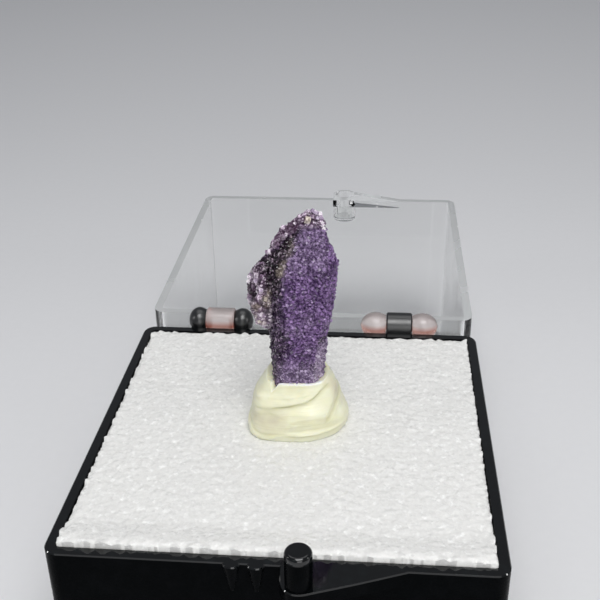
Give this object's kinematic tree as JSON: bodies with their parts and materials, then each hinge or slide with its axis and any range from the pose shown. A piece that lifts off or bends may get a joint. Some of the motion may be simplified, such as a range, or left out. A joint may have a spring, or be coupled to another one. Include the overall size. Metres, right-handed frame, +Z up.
{
  "type": "fluorite on quartz point",
  "caption": "Quartz point grown over with fine purple fluorite, held upright by putty on the foam of a small hinged display box with a clear lid that opens flat.",
  "frame": {"origin": "centre of the box's underside", "axes": "+Z up; -Y is the catch side and the front; the hinge runs along X at the back, +Y; the lid lies open behind"},
  "size_m": [0.0318, 0.0717, 0.0383],
  "materials": {
    "black_plastic": "glossy injection-moulded black polystyrene",
    "white_foam": "white bead foam with a fine sparkle",
    "cloudy_putty": "pale yellow-white cloudy putty, slightly waxy",
    "purple_fluorite": "fine glittering purple crystals over pale quartz",
    "clear_plastic": "clear polished polystyrene"
  },
  "bodies": {
    "base": {"box_base": "black_plastic", "foam_insert": "white_foam", "mounting_putty": "cloudy_putty", "fluorite_on_quartz": "purple_fluorite"},
    "lid": {"clear_lid": "clear_plastic"}
  },
  "joints": [
    {"name": "lid_hinge", "type": "hinge", "parent": "base", "child": "lid", "pos_m": [0, 0.01727, 0.0197], "axis": [1, 0, 0], "range_deg": [0, 180]}
  ]
}
